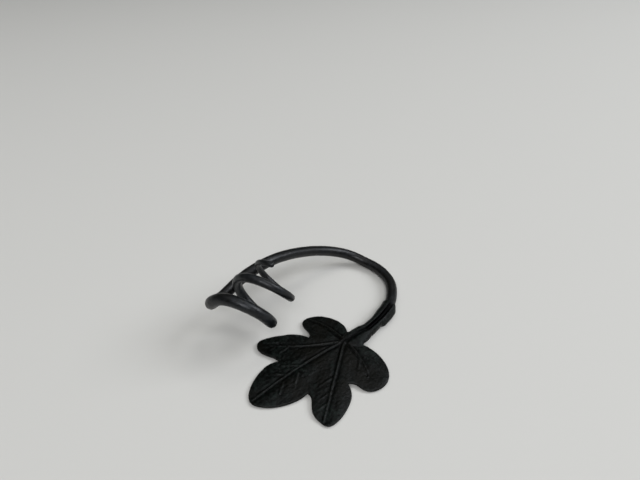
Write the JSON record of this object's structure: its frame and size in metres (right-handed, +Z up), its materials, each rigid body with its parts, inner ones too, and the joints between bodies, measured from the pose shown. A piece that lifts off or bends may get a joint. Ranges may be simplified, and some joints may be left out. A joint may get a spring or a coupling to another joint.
{
  "type": "bottle stand",
  "caption": "Forged iron rod coiled to cradle a bottle by its neck, its base arc socketed into a domed five-lobed leaf that steadies it on the table.",
  "frame": {"origin": "middle of the footprint, on the table", "axes": "+Z up; +X the way the bottle's neck points toward its base, seen from above; +Y the neck's left side"},
  "size_m": [0.1786, 0.138, 0.0674],
  "materials": {
    "rod_iron": "forged bar, blackened and waxed, satin",
    "leaf_iron": "hammered sheet, blackened, matt"
  },
  "bodies": {
    "root": {"rod": "rod_iron", "leaf": "leaf_iron"}
  },
  "joints": []
}
